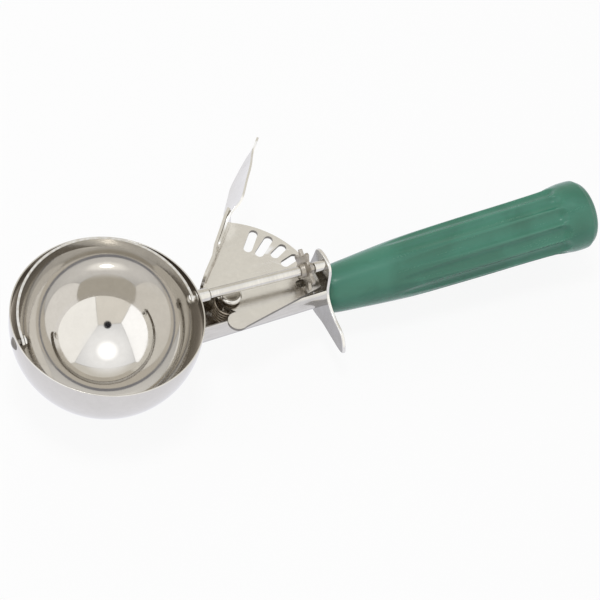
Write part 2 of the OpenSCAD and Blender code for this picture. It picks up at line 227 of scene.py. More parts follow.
def makeGrain():    # fine lines or grit, stretched by Stretch (repeats per metre along each axis)
    group, into, out = newGroup("metalGrain", [("Place", "NodeSocketVector", None),
                                               ("Stretch", "NodeSocketVector", (500, 500, 500)),
                                               ("Contrast", "NodeSocketFloat", 1.0)],
                                [("Grain", "NodeSocketFloat")])
    add, link = nodeSet(group)
    spread = add("ShaderNodeVectorMath", operation="MULTIPLY")
    noise = add("ShaderNodeTexNoise", Scale=1.0, Detail=3.0, Roughness=0.6)
    low = add("ShaderNodeMath", operation="SUBTRACT")
    low.inputs[1].default_value = 0.5
    gain = add("ShaderNodeMath", operation="MULTIPLY_ADD", use_clamp=True)
    gain.inputs[2].default_value = 0.5
    link(into.outputs["Place"], spread.inputs[0])
    link(into.outputs["Stretch"], spread.inputs[1])
    link(spread.outputs[0], noise.inputs["Vector"])
    link(noise.outputs["Fac"], low.inputs[0])
    link(low.outputs[0], gain.inputs[0])
    link(into.outputs["Contrast"], gain.inputs[1])
    link(gain.outputs[0], out.inputs["Grain"])
    return group


def makeSmudges():    # wiped, handled areas
    group, into, out = newGroup("handlingSmudges", [("Place", "NodeSocketVector", None),
                                                    ("Size", "NodeSocketFloat", 60.0)],
                                [("Smudge", "NodeSocketFloat")])
    add, link = nodeSet(group)
    broad = add("ShaderNodeTexNoise", Detail=4.0, Roughness=0.55, Distortion=0.6)
    ramp = add("ShaderNodeMapRange", interpolation_type="SMOOTHSTEP")
    ramp.inputs["From Min"].default_value = 0.42
    ramp.inputs["From Max"].default_value = 0.68
    link(into.outputs["Place"], broad.inputs["Vector"])
    link(into.outputs["Size"], broad.inputs["Scale"])
    link(broad.outputs["Fac"], ramp.inputs["Value"])
    link(ramp.outputs[0], out.inputs["Smudge"])
    return group


def makeScratches():    # thin crossing wipe marks
    group, into, out = newGroup("wipeMarks", [("Place", "NodeSocketVector", None),
                                              ("Density", "NodeSocketFloat", 1.0)],
                                [("Marks", "NodeSocketFloat")])
    add, link = nodeSet(group)
    last = None
    for turn, stretch in (((0.3, 0.2, 0.5), (30, 900, 60)), ((1.1, 0.7, 2.1), (24, 700, 50)),
                          ((0.4, 1.9, 1.2), (36, 1100, 70))):
        mapping = add("ShaderNodeMapping")
        mapping.inputs["Rotation"].default_value = turn
        mapping.inputs["Scale"].default_value = stretch
        noise = add("ShaderNodeTexNoise", Scale=1.0, Detail=1.0, Distortion=0.15)
        line = add("ShaderNodeMapRange", interpolation_type="SMOOTHSTEP")
        line.inputs["From Min"].default_value = 0.66
        line.inputs["From Max"].default_value = 0.74
        link(into.outputs["Place"], mapping.inputs["Vector"])
        link(mapping.outputs[0], noise.inputs["Vector"])
        link(noise.outputs["Fac"], line.inputs["Value"])
        if last:
            most = add("ShaderNodeMath", operation="MAXIMUM")
            link(last.outputs[0], most.inputs[0])
            link(line.outputs[0], most.inputs[1])
            last = most
        else:
            last = line
    scale = add("ShaderNodeMath", operation="MULTIPLY", use_clamp=True)
    link(last.outputs[0], scale.inputs[0])
    link(into.outputs["Density"], scale.inputs[1])
    link(scale.outputs[0], out.inputs["Marks"])
    return group


grain = makeGrain()
smudges = makeSmudges()
scratches = makeScratches()


# deep is the colour steel glows past its bounces, a painted reflection
usualLook = {"contrast": 1.6, "smudgeSize": 70.0, "marks": 0.5, "veilAmount": 0.35, "outline": 0.0,
             "outlineShadeTone": (0.16, 0.145, 0.125), "smudgeRough": 0.05, "markRough": 0.1,
             "bump": 0.2, "depth": 0.00003, "bounces": 3, "deep": (0.30, 0.27, 0.23)}


def steel(name, ownLook):    # colours, roughness, stretch of the grain, and what differs from the usual
    look = {**usualLook, **ownLook}
    material = bpy.data.materials.new(name)
    material.use_nodes = True
    tree = material.node_tree
    add, link = nodeSet(tree)
    shader = tree.nodes["Principled BSDF"]
    shader.inputs["Metallic"].default_value = 1.0
    where = add("ShaderNodeTexCoord")
    fine = groupNode(tree, grain, Stretch=look["stretch"], Contrast=look["contrast"])
    hand = groupNode(tree, smudges, Size=look["smudgeSize"])
    wipe = groupNode(tree, scratches, Density=look["marks"])
    for node in (fine, hand, wipe):
        link(where.outputs["Object"], node.inputs["Place"])
    tone = add("ShaderNodeMix", data_type="RGBA")
    tone.inputs["A"].default_value = (*look["dark"], 1)
    tone.inputs["B"].default_value = (*look["light"], 1)
    link(fine.outputs["Grain"], tone.inputs["Factor"])
    veil = add("ShaderNodeMix", data_type="RGBA")
    veil.inputs["B"].default_value = (*look["veil"], 1)
    fade = add("ShaderNodeMath", operation="MULTIPLY")
    fade.inputs[1].default_value = look["veilAmount"]
    link(hand.outputs["Smudge"], fade.inputs[0])
    link(fade.outputs[0], veil.inputs["Factor"])
    link(tone.outputs["Result"], veil.inputs["A"])
    facing = add("ShaderNodeLayerWeight", Blend=0.5)    # painted shade: round pieces darken toward their outline
    turn = add("ShaderNodeMapRange", interpolation_type="SMOOTHSTEP")
    for key, value in (("From Min", 0.62), ("From Max", 0.92), ("To Max", look["outline"])):
        turn.inputs[key].default_value = value
    outlineShaded = add("ShaderNodeMix", data_type="RGBA")
    outlineShaded.inputs["B"].default_value = (*look["outlineShadeTone"], 1)
    link(facing.outputs["Facing"], turn.inputs["Value"])
    link(turn.outputs[0], outlineShaded.inputs["Factor"])
    link(veil.outputs["Result"], outlineShaded.inputs["A"])
    tint = outlineShaded.outputs["Result"]
    rays = add("ShaderNodeLightPath")
    if "mirrored" in look:    # its own tone in the mirrors beside it; camera rays see the painted tone
        seen = add("ShaderNodeMix", data_type="RGBA")
        seen.inputs["A"].default_value = (*look["mirrored"], 1)
        link(rays.outputs["Is Camera Ray"], seen.inputs["Factor"])
        link(tint, seen.inputs["B"])
        tint = seen.outputs["Result"]
    base = add("ShaderNodeMapRange")
    base.inputs["To Min"].default_value = look["rough"][0]
    base.inputs["To Max"].default_value = look["rough"][1]
    link(fine.outputs["Grain"], base.inputs["Value"])
    more = add("ShaderNodeMath", operation="MULTIPLY_ADD")
    more.inputs[1].default_value = look["smudgeRough"]
    link(hand.outputs["Smudge"], more.inputs[0])
    link(base.outputs[0], more.inputs[2])
    lines = add("ShaderNodeMath", operation="MULTIPLY_ADD", use_clamp=True)
    lines.inputs[1].default_value = look["markRough"]
    link(wipe.outputs["Marks"], lines.inputs[0])
    link(more.outputs[0], lines.inputs[2])
    link(lines.outputs[0], shader.inputs["Roughness"])
    bump = add("ShaderNodeBump", Strength=look["bump"], Distance=look["depth"])
    link(fine.outputs["Grain"], bump.inputs["Height"])
    if "wave" in look:    # slow unevenness of pressed or spun sheet
        slow = add("ShaderNodeTexNoise", Scale=look["wave"][0], Detail=1.5, Roughness=0.4)
        swell = add("ShaderNodeBump", Strength=1.0, Distance=look["wave"][1])
        link(where.outputs["Object"], slow.inputs["Vector"])
        link(slow.outputs["Fac"], swell.inputs["Height"])
        link(swell.outputs[0], bump.inputs["Normal"])
    link(bump.outputs[0], shader.inputs["Normal"])
    deep = add("ShaderNodeMath", operation="GREATER_THAN")    # past this ray depth the steel turns black and glows its deep colour: a painted reflection standing in for mirror in mirror
    deep.inputs[1].default_value = look["bounces"] + 0.5
    link(rays.outputs["Ray Depth"], deep.inputs[0])
    for target, source, mean in (("Base Color", tint, (0, 0, 0)),
                                 ("Emission Color", None, look["deep"])):
        end = add("ShaderNodeMix", data_type="RGBA")
        end.inputs["A"].default_value = (0, 0, 0, 1)
        end.inputs["B"].default_value = (*mean, 1)
        if source:
            link(source, end.inputs["A"])
        link(deep.outputs[0], end.inputs["Factor"])
        link(end.outputs["Result"], shader.inputs[target])
    shader.inputs["Emission Strength"].default_value = 1.0
    return material


bowlSteel = steel("bowlSteel", {
    "dark": (0.635, 0.614, 0.58), "light": (0.68, 0.659, 0.624), "veil": (0.62, 0.60, 0.565),
    "stretch": (420, 420, 420), "rough": (0.03, 0.06), "smudgeRough": 0.04, "marks": 0.6,
    "markRough": 0.06, "bump": 0.05, "depth": 0.00001, "wave": (60.0, 0.00003), "bounces": 2,
    "deep": (0.30, 0.275, 0.245)})
collarShadeSteel = steel("collarShadeSteel", {    # the inside of the rim, painted dark: a painted reflection of a dark room; the mirrors beside it see its own steel tone
    "dark": (0.20, 0.178, 0.15), "light": (0.27, 0.245, 0.21), "veil": (0.17, 0.15, 0.125),
    "stretch": (300, 300, 2200), "rough": (0.08, 0.14), "marks": 0.5, "bump": 0.05, "depth": 0.00001,
    "bounces": 2, "mirrored": (0.66, 0.64, 0.615)})
brightSteel = steel("brightSteel", {
    "dark": (0.60, 0.58, 0.54), "light": (0.72, 0.70, 0.66), "veil": (0.54, 0.52, 0.485),
    "stretch": (3000, 260, 260), "rough": (0.07, 0.13), "smudgeSize": 120.0, "marks": 0.5,
    "bump": 0.12, "depth": 0.00002, "outline": 0.8})
satinSteel = steel("satinSteel", {
    "dark": (0.70, 0.685, 0.655), "light": (0.84, 0.825, 0.79), "veil": (0.67, 0.65, 0.615),
    "stretch": (700, 700, 260), "rough": (0.13, 0.19), "smudgeSize": 90.0, "marks": 0.7,
    "bump": 0.05, "depth": 0.00001, "contrast": 0.7})
# a darker copy of satinSteel: painted shade on the guard's broad faces
guardShadedSteel = steel("guardShadedSteel", {
    "dark": (0.34, 0.33, 0.315), "light": (0.45, 0.44, 0.42), "veil": (0.28, 0.265, 0.245),
    "stretch": (700, 700, 260), "rough": (0.14, 0.22), "smudgeSize": 90.0, "marks": 0.7,
    "bump": 0.05, "depth": 0.00001, "contrast": 0.8})
shankSteel = steel("shankSteel", {
    "dark": (0.56, 0.54, 0.505), "light": (0.70, 0.68, 0.64), "veil": (0.52, 0.50, 0.465),
    "stretch": (120, 1500, 1500), "rough": (0.11, 0.19), "smudgeSize": 90.0, "marks": 0.6,
    "bump": 0.12, "depth": 0.00002, "outline": 0.75})
springSteel = steel("springSteel", {
    "dark": (0.26, 0.225, 0.18), "light": (0.40, 0.35, 0.29), "veil": (0.22, 0.19, 0.15),
    "stretch": (900, 900, 900), "rough": (0.18, 0.3), "smudgeSize": 200.0, "marks": 0.4,
    "bump": 0.15, "depth": 0.00003})
darkSteel = steel("darkSteel", {
    "dark": (0.36, 0.325, 0.28), "light": (0.47, 0.44, 0.395), "veil": (0.28, 0.25, 0.21),
    "stretch": (900, 900, 900), "rough": (0.22, 0.34), "smudgeSize": 160.0, "marks": 0.5,
    "bump": 0.2, "depth": 0.00003})
cutSteel = steel("cutSteel", {    # sheared edges of the sheet
    "dark": (0.20, 0.185, 0.165), "light": (0.30, 0.285, 0.26), "veil": (0.17, 0.155, 0.135),
    "stretch": (1500, 1500, 1500), "rough": (0.3, 0.45), "marks": 0.3, "bump": 0.1, "depth": 0.00001})


plasticLook = {"deep": (0.034, 0.160, 0.104), "face": (0.046, 0.200, 0.134),
               "ridgeTone": (0.085, 0.255, 0.180), "ridgeToneAmount": 0.55, "rough": (0.17, 0.25),
               "markRough": 0.12, "smudgeSize": 45.0, "grit": (1400, 1400, 1400), "contrast": 1.5,
               "marks": 0.5, "bump": 0.25, "depth": 0.00003}


def makePlastic(look):
    material = bpy.data.materials.new("greenPlastic")
    material.use_nodes = True
    tree = material.node_tree
    add, link = nodeSet(tree)
    shader = tree.nodes["Principled BSDF"]
    shader.inputs["IOR"].default_value = 1.5
    where = add("ShaderNodeTexCoord")
    cloud = groupNode(tree, smudges, Size=look["smudgeSize"])
    grit = groupNode(tree, grain, Stretch=look["grit"], Contrast=look["contrast"])
    wipe = groupNode(tree, scratches, Density=look["marks"])
    for node in (cloud, grit, wipe):
        link(where.outputs["Object"], node.inputs["Place"])
    tone = add("ShaderNodeMix", data_type="RGBA")
    tone.inputs["A"].default_value = (*look["face"], 1)
    tone.inputs["B"].default_value = (*look["deep"], 1)
    link(cloud.outputs["Smudge"], tone.inputs["Factor"])
    edge = add("ShaderNodeNewGeometry")
    # lighter green on the sharp ridges and edges, by pointiness
    ridge = add("ShaderNodeMapRange", interpolation_type="SMOOTHSTEP")
    ridge.inputs["From Min"].default_value = 0.505
    ridge.inputs["From Max"].default_value = 0.56
    ridge.inputs["To Max"].default_value = look["ridgeToneAmount"]
    link(edge.outputs["Pointiness"], ridge.inputs["Value"])
    ridgeMix = add("ShaderNodeMix", data_type="RGBA")
    ridgeMix.inputs["B"].default_value = (*look["ridgeTone"], 1)
    link(ridge.outputs[0], ridgeMix.inputs["Factor"])
    link(tone.outputs["Result"], ridgeMix.inputs["A"])
    link(ridgeMix.outputs["Result"], shader.inputs["Base Color"])
    rough = add("ShaderNodeMapRange")
    rough.inputs["To Min"].default_value = look["rough"][0]
    rough.inputs["To Max"].default_value = look["rough"][1]
    link(grit.outputs["Grain"], rough.inputs["Value"])
    lines = add("ShaderNodeMath", operation="MULTIPLY_ADD", use_clamp=True)
    lines.inputs[1].default_value = look["markRough"]
    link(wipe.outputs["Marks"], lines.inputs[0])
    link(rough.outputs[0], lines.inputs[2])
    link(lines.outputs[0], shader.inputs["Roughness"])
    bump = add("ShaderNodeBump", Strength=look["bump"], Distance=look["depth"])
    link(grit.outputs["Grain"], bump.inputs["Height"])
    link(bump.outputs[0], shader.inputs["Normal"])
    return material


greenPlastic = makePlastic(plasticLook)
print("materials ready")

# places shared by several pieces, in millimetres
spindleZ = -3.3
pivotX = 44.97
plateZ, plateTop = -10.459, -9.259
leverTurn = math.radians(49.2)
alongX = Matrix.Rotation(pi / 2, 4, "Y")
onSpindle = Matrix.Translation((0, 0, spindleZ * mm)) @ alongX
onPivot = Matrix.Translation((pivotX * mm, 0, 0))
onLever = onPivot @ Matrix.Rotation(leverTurn, 4, "Z")

# bowl

bowlSize = {"radius": 32.2, "wall": 0.55, "collar": 4.3, "lip": 0.2, "sides": 224}


def makeBowl(size):
    deselectAll()
    bpy.ops.mesh.primitive_uv_sphere_add(
        segments=size["sides"], ring_count=size["sides"] // 2, radius=size["radius"] * mm,
        location=(0, 0, -size["collar"] * mm))
    piece = bpy.context.object
    piece.name = "bowlShell"
    bake(piece)
    edit(piece, everything=True)
    bpy.ops.mesh.bisect(plane_co=(0, 0, -size["collar"] * mm), plane_no=(0, 0, 1), clear_outer=True,
                        threshold=0.00001)
    pick(piece, "EDGE", lambda edge: edge.is_boundary)
    bpy.ops.mesh.extrude_region_move(TRANSFORM_OT_translate={"value": (0, 0, size["collar"] * mm)})
    done()
    applied(piece, "SOLIDIFY", thickness=size["wall"] * mm, offset=-1, use_even_offset=True)
    softened(piece, size["lip"], 3, 50)
    shaded(piece, 40, weighted=False)
    finishPiece(piece, "frame", "bowl_steel", bowlSteel, "bowl")
    # the rim's inner faces get the painted dark reflection
    secondTone(piece, collarShadeSteel, lambda face: face.center.z > -size["collar"] * mm
               and face.normal.dot(face.center.xy.to_3d().normalized()) < -0.5)


makeBowl(bowlSize)

# scraper blade: a strip spun half round, with a round pad at each end

bladeSize = {"outer": 30.1, "inner": 29.3, "width": 5.2, "edge": 0.16, "raised": 8}


def makeBlade(size):
    thick = size["outer"] - size["inner"]
    centre = (size["outer"] + size["inner"]) / 2
    deselectAll()
    bpy.ops.mesh.primitive_plane_add(size=1, location=(centre * mm, 0, spindleZ * mm),
                                     rotation=(pi / 2, 0, 0))
    piece = bpy.context.object
    piece.name = "scraperStrip"
    piece.scale = (thick * mm, size["width"] * mm, 1)
    bake(piece)
    edit(piece, "FACE", everything=True)
    bpy.ops.mesh.spin(steps=96, angle=pi, center=(0, 0, spindleZ * mm), axis=(0, 0, 1))
    done()
    if min(v.co.y for v in piece.data.vertices) < -0.01:    # spun to the wrong side
        for vert in piece.data.vertices:
            vert.co.y = -vert.co.y
    outward(piece)
    pads = []
    for side in (1, -1):
        deselectAll()
        bpy.ops.mesh.primitive_cylinder_add(
            vertices=64, radius=size["width"] / 2 * mm, depth=thick * mm,
            location=(side * centre * mm, 0, spindleZ * mm), rotation=(0, pi / 2, 0))
        pad = bpy.context.object
        bake(pad)
        pads.append(pad)
    unioned(piece, *pads)
    softened(piece, size["edge"], 2, 50)
    axis = Matrix.Translation((0, 0, spindleZ * mm))
    place(piece, axis @ Matrix.Rotation(math.radians(size["raised"]), 4, "X") @ axis.inverted())
    shaded(piece, 40)
    finishPiece(piece, "spindle", "bright_steel", brightSteel, "scraper_blade")


makeBlade(bladeSize)


def ringProfile(start, end, outer, inner, edge=0.2):    # a tube's section, its corners eased
    return [(start, inner + edge / 2), (start, outer - edge), (start + edge * 0.3, outer - edge * 0.3),
            (start + edge, outer), (end - edge, outer), (end - edge * 0.3, outer - edge * 0.3),
            (end, outer - edge), (end, inner + edge / 2), (end - edge / 2, inner),
            (start + edge / 2, inner), (start, inner + edge / 2)]


def dome(start, radius, height, steps=8):    # stations of a domed rivet head
    ball = (radius * radius + height * height) / (2 * height)
    line = []
    for i in range(1, steps + 1):
        rise = height * i / steps
        line.append((start + rise, math.sqrt(max(ball * ball - (ball - height + rise) ** 2, 0))))
    return line


# spindle: bush, tube, collar and rear bush, turned on one axis

spindleSize = {"rod": 1.2, "fit": 0.05, "rings": [    # start, end, radius; play on the rod; edge
    ("bowlBushRing", (31.3, 36.2, 2.4), "fit", 0.3,
     "frame", "bright_steel", brightSteel, "bowl_bush"),
    ("spindleTube", (36.55, 70.1, 1.75), "", 0.2,
     "spindle", "bright_steel", brightSteel, "spindle_sleeve"),
    ("backCollar", (72.9, 74.9, 2.1), "", 0.3,
     "spindle", "satin_steel", darkSteel, "spindle_collar"),
    ("rearBushRing", (75.5, 80.7, 1.95), "fit", 0.3,
     "frame", "bright_steel", brightSteel, "rear_bush")]}


def makeSpindle(size):
    for name, ends, play, edge, body, slotName, material, node in size["rings"]:
        ring = turned(name, ringProfile(*ends, size["rod"] + size.get(play, 0), edge), 64, True)
        place(ring, onSpindle)
        shaded(ring, 35)
        finishPiece(ring, body, slotName, material, node)


makeSpindle(spindleSize)

# far rivet: domed head outside the bowl, smaller head inside

rivetSize = {"body": 1.25, "outer": 2.2, "inner": 1.4, "head": 0.9, "wall": 32.2, "insideAt": -28.45}


def makeRivet(size):
    wall, start = -size["wall"], size["insideAt"]
    profile = [(wall - x + wall, r) for x, r in reversed(dome(wall, size["outer"], size["head"]))]
    profile[0] = (wall - size["head"], 0.15)
    profile += [(wall, size["outer"]), (wall, size["body"]),
                (start, size["body"]), (start, size["inner"])]
    profile += dome(start, size["inner"], size["head"])
    piece = turned("farRivetPin", profile, 48)
    place(piece, onSpindle)
    shaded(piece, 50, weighted=False)
    finishPiece(piece, "frame", "bright_steel", cutSteel, "far_rivet")


makeRivet(rivetSize)

# pinion and fan plate: the CAD outline with pressed, rounded edges

pressedSize = {"pinionEdge": 0.2, "fanEdge": 0.16, "bendOutside": 1.0, "bendInside": 0.6,
               "guardEdge": 0.4, "joggle": [    # place along the flange, step outward
                   (2.6, 0), (10.5, 0), (13, 0.45), (15.5, 0.9), (20, 1.15), (24, 1.4), (29, 1.75)]}


def makePinion(size):
    piece = cadCopy("pinion", "pinionStar")
    softened(piece, size["pinionEdge"], 2, 40)
    shaded(piece, 40)
    finishPiece(piece, "spindle", "satin_steel", darkSteel, "pinion")


makePinion(pressedSize)


def leverPoint(co):    # a point seen from the lever: along the flange, outward from it, height
    point = onLever.inverted() @ co
    return point / mm


def joggle(piece, steps):    # the flange steps outward beside the thumb tab's stem
    along = onLever.to_3x3() @ Vector((1, 0, 0))
    for station, _ in steps:
        edit(piece, everything=True)
        bpy.ops.mesh.bisect(plane_co=onLever @ Vector((station * mm, 0, 0)), plane_no=along)
        done()
    for vert in piece.data.vertices:
        point = leverPoint(vert.co)
        if point.y < 9.55 or point.z < plateTop + 0.6:
            continue
        out = steps[0][1]
        for (a, low), (b, high) in zip(steps, steps[1:]):
            if a <= point.x <= b:
                out = low + (high - low) * (point.x - a) / (b - a)
        if point.x > steps[-1][0]:
            out = steps[-1][1]
        rise = point.z - plateTop
        share = min(rise / 1.6, 1)
        lead = max(point.x - 30.5, 0) * 3.4 * max(rise - 1, 0) / 5    # the pointed end
        low = 0.4 + 0.6 * min(max(point.x + 0.4, 0) / 3, 1)    # the sloped start
        vert.co = onLever @ Vector(((point.x + lead) * mm, (point.y + out * share) * mm,
                                    (plateTop + rise * low) * mm))


def onBend(edge, outward, height):
    ends = [leverPoint(v.co) for v in edge.verts]
    return all(abs(p.y - outward) < 0.05 and abs(p.z - height) < 0.05 for p in ends)


def bendCreaseShade(face):    # the tight inside of the bend, in darker steel: painted shade in the crease
    point = leverPoint(face.center)
    return (8.9 < point.y < 9.85 and plateTop < point.z < plateTop + 0.8
            and 0.15 < face.normal.z < 0.985)


def sheared(face):    # walls of the slots and of the outline
    return abs(face.normal.z) < 0.3 and leverPoint(face.center).y < 9.3


def makeFan(size):
    piece = cadCopy("fan_plate", "fanSheet")
    edit(piece)
    pick(piece, "EDGE", lambda edge: onBend(edge, 10.7, plateZ))
    bpy.ops.mesh.bevel(offset=size["bendOutside"] * mm, segments=5, affect="EDGES")
    pick(piece, "EDGE", lambda edge: onBend(edge, 9.7, plateTop))
    bpy.ops.mesh.bevel(offset=size["bendInside"] * mm, segments=4, affect="EDGES")
    done()
    joggle(piece, size["joggle"])
    softened(piece, size["fanEdge"], 2, 45)
    shaded(piece, 40)
    finishPiece(piece, "lever", "satin_steel", satinSteel, "fan_plate")
    secondTone(piece, cutSteel, sheared)
    secondTone(piece, darkSteel, bendCreaseShade)


makeFan(pressedSize)


def makeGuard(size):
    piece = cadCopy("guard", "guardSheet")
    softened(piece, size["guardEdge"], 3, 45)
    shaded(piece, 40)
    finishPiece(piece, "frame", "satin_steel", guardShadedSteel, "guard")
    secondTone(piece, satinSteel, lambda face: abs(face.normal.x) < 0.97)    # the edges keep the lighter satin steel, the broad faces the darker copy: painted shade on the faces, painted highlight on the edges


makeGuard(pressedSize)

# thumb tab: a stem in the flange's joggle, then a leaf that leans toward the handle
# each row: along the lever, outward, height of the middle, half width, lean in degrees, dish

thumbSize = {"thick": 0.8, "edge": 0.18, "across": 9, "rows": [
    (15.6, 10.15, -5.9, 1.2, 0, 0), (16.4, 10.15, -5.6, 2.0, 0, 0), (18, 10.17, -5.5, 2.2, 0, 0),
    (23, 10.3, -5.45, 2.25, -2, 0), (27, 10.7, -5.0, 2.6, 2, 0), (29.5, 10.85, -4.6, 3.4, 12, 0),
    (31.5, 10.9, -4.3, 4.2, 21, 0.05), (33.5, 10.9, -4.2, 4.75, 27, 0.15),
    (36, 10.97, -4.3, 5.15, 28, 0.3), (39, 11.3, -4.4, 5.28, 28, 0.45), (42, 11.7, -4.4, 5.28, 28, 0.5),
    (46, 12.18, -4.4, 5.2, 28, 0.5), (50, 12.28, -4.4, 4.5, 28, 0.45), (54, 12.4, -4.4, 3.45, 28, 0.3),
    (57, 12.48, -4.3, 2.3, 28, 0.15), (59.5, 12.5, -4.2, 1.4, 26, 0.05),
    (61.5, 12.4, -4.0, 0.95, 16, 0), (63.5, 12.3, -3.7, 1.0, 6, 0), (65.5, 12.3, -3.3, 0.95, 3, 0),
    (67, 12.35, -3.0, 0.5, 3, 0), (67.4, 12.35, -2.9, 0.15, 3, 0)]}


def makeThumb(size):
    rows = smoothLine(size["rows"], 4)
    count = size["across"]
    deselectAll()
    bpy.ops.mesh.primitive_grid_add(x_subdivisions=len(rows) - 1, y_subdivisions=count - 1, size=1)
    piece = bpy.context.object
    piece.name = "thumbLeaf"
    verts = sorted(piece.data.vertices, key=lambda v: (round(v.co.x, 4), v.co.y))
    for i, (along, out, height, half, lean, dish) in enumerate(rows):
        tilt = math.radians(lean)
        for j in range(count):
            u = 2 * j / (count - 1) - 1    # -1 to 1 across the leaf
            rise, sink = u * half, dish * (1 - u * u)
            verts[i * count + j].co = (
                along * mm, (out - rise * math.sin(tilt) - sink * math.cos(tilt)) * mm,
                (height + rise * math.cos(tilt) - sink * math.sin(tilt)) * mm)
    place(piece, onLever)
    applied(piece, "SOLIDIFY", thickness=size["thick"] * mm, offset=0, use_even_offset=True)
    softened(piece, size["edge"], 2, 50)
    outward(piece)
    shaded(piece, 40)
    finishPiece(piece, "lever", "satin_steel", satinSteel, "thumb_tab")


makeThumb(thumbSize)

# pivot post: a low dished head with a rounded rim

postSize = {"radius": 1.6, "foot": 2.6, "footAt": -23.9, "headAt": -7.709, "head": 3.9, "headHigh": 1.3,
            "rim": [(0, 0.45), (0.12, 0.13), (0.4, 0), (0.75, 0.05)],    # up from the head's foot, in
            "dish": [(0.25, 0.3), (0.05, 0.62), (0.03, 0.85), (0.16, 1.15), (0.24, 1.8), (0.26, 2.9),
                     (0.26, 3.9)]}    # down from its top, in from its rim


def makePost(size):
    low, foot, wide = size["footAt"], size["foot"], size["head"]
    at, top = size["headAt"], size["headAt"] + size["headHigh"]
    profile = [(low - 0.4, 0.3), (low - 0.4, foot - 0.3), (low - 0.2, foot), (low + 0.5, foot),
               (low + 0.5, size["radius"]), (at, size["radius"])]
    profile += [(at + up, wide - inward) for up, inward in size["rim"]]
    profile += [(top - down, wide - inward) for down, inward in size["dish"]]
    piece = turned("pivotHead", profile, 72)
    place(piece, onPivot)
    shaded(piece, 50, weighted=False)
    finishPiece(piece, "frame", "bright_steel", shankSteel, "pivot_post")


makePost(postSize)

# return spring: a wire ring wound down by a screw, then a straight leg

springSize = {"coil": 4.5, "wire": 0.6, "turns": 5, "rise": 1.4, "top": -11.409, "leg": 8, "sides": 20}


def makeSpring(size):
    deselectAll()
    bpy.ops.mesh.primitive_circle_add(vertices=size["sides"], radius=size["wire"] * mm,
                                      location=(size["coil"] * mm, 0, size["top"] * mm),
                                      rotation=(pi / 2, 0, 0))
    piece = bpy.context.object
    piece.name = "springCoil"
    bake(piece)
    turns = size["turns"] - 0.25    # the leg leaves a quarter turn early
    steps = int(48 * turns)
    applied(piece, "SCREW", axis="Z", angle=2 * pi * turns, screw_offset=-size["rise"] * turns * mm,
            steps=steps, render_steps=steps, use_merge_vertices=False)
    low = size["top"] - size["rise"] * turns
    edit(piece)
    pick(piece, "EDGE", lambda edge: edge.is_boundary and middle(edge).z < (low + 1) * mm
         and middle(edge).y < 0)
    bpy.ops.mesh.extrude_region_move(
        TRANSFORM_OT_translate={"value": (size["leg"] * mm, size["leg"] * 0.1 * mm, 0)})
    bpy.ops.mesh.edge_face_add()
    pick(piece, "EDGE", lambda edge: edge.is_boundary)
    bpy.ops.mesh.edge_face_add()
    done()
    place(piece, onPivot)
    outward(piece)
    shaded(piece, 60, weighted=False)
    finishPiece(piece, "frame", "spring_steel", springSteel, "return_spring")


makeSpring(springSize)

# shank: a tapered half-round channel

shankSize = {"axis": -15.5, "top": -10.95, "atBowl": 9.1, "bowlX": 32.2, "atGuard": 7.2, "guardX": 79.5,
             "wall": 0.9, "start": 18.0, "edge": 0.2}


def makeShank(size):
    slope = (size["atBowl"] - size["atGuard"]) / (size["guardX"] - size["bowlX"])
    start = size["start"]    # inside the bowl, which then cuts it off
    wide = size["atGuard"] + slope * (size["guardX"] - start)
    depth = size["guardX"] - start
    deselectAll()
    bpy.ops.mesh.primitive_cone_add(vertices=128, radius1=wide * mm, radius2=size["atGuard"] * mm,
                                    depth=depth * mm, end_fill_type="NOTHING",
                                    location=((start + depth / 2) * mm, 0, size["axis"] * mm),
                                    rotation=(0, pi / 2, 0))
    piece = bpy.context.object
    piece.name = "shankChannel"
    bake(piece)
    edit(piece, everything=True)
    bpy.ops.mesh.bisect(plane_co=(0, 0, size["top"] * mm), plane_no=(0, 0, 1), clear_outer=True,
                        threshold=0.000001)
    done()
    applied(piece, "SOLIDIFY", thickness=size["wall"] * mm, offset=-1, use_even_offset=True)
    deselectAll()
    bpy.ops.mesh.primitive_uv_sphere_add(segments=128, ring_count=64, radius=bowlSize["radius"] * mm,
                                         location=(0, 0, -bowlSize["collar"] * mm))
    cutBy(piece, bpy.context.object)
    outward(piece)
    softened(piece, size["edge"], 2, 50)
    shaded(piece, 35)
    finishPiece(piece, "frame", "bright_steel", shankSteel, "shank")


makeShank(shankSize)

# handle: a round bar drawn out along its axis, with twelve flutes

handleSize = {"z": -20.3, "x": 80.7, "rise": 4.3, "start": 0.54, "sides": 192, "flutes": 12,
              "cutter": 4.2, "floor": 10.4, "deepest": 1.6, "soft": 0.07,
              "fluteEnd": 91.2, "turn": -3.8, "line": [
                  (0, 6.7), (0.5, 7.2), (4, 8.4), (13.5, 9.3), (23, 10.15), (32.5, 10.85), (42, 11.22),
                  (56, 11.5), (75, 11.72), (90, 12.0), (95.5, 12.45), (98.4, 12.8), (100, 12.9),
                  (102.4, 12.9), (103.7, 12.8), (104.1, 12.62), (104.3, 12.3), (105.4, 11.8),
                  (106.3, 11), (106.85, 9.9), (107, 8.9)],
              "butt": [(107.02, 7.5), (106.95, 5.0), (106.9, 0)]}


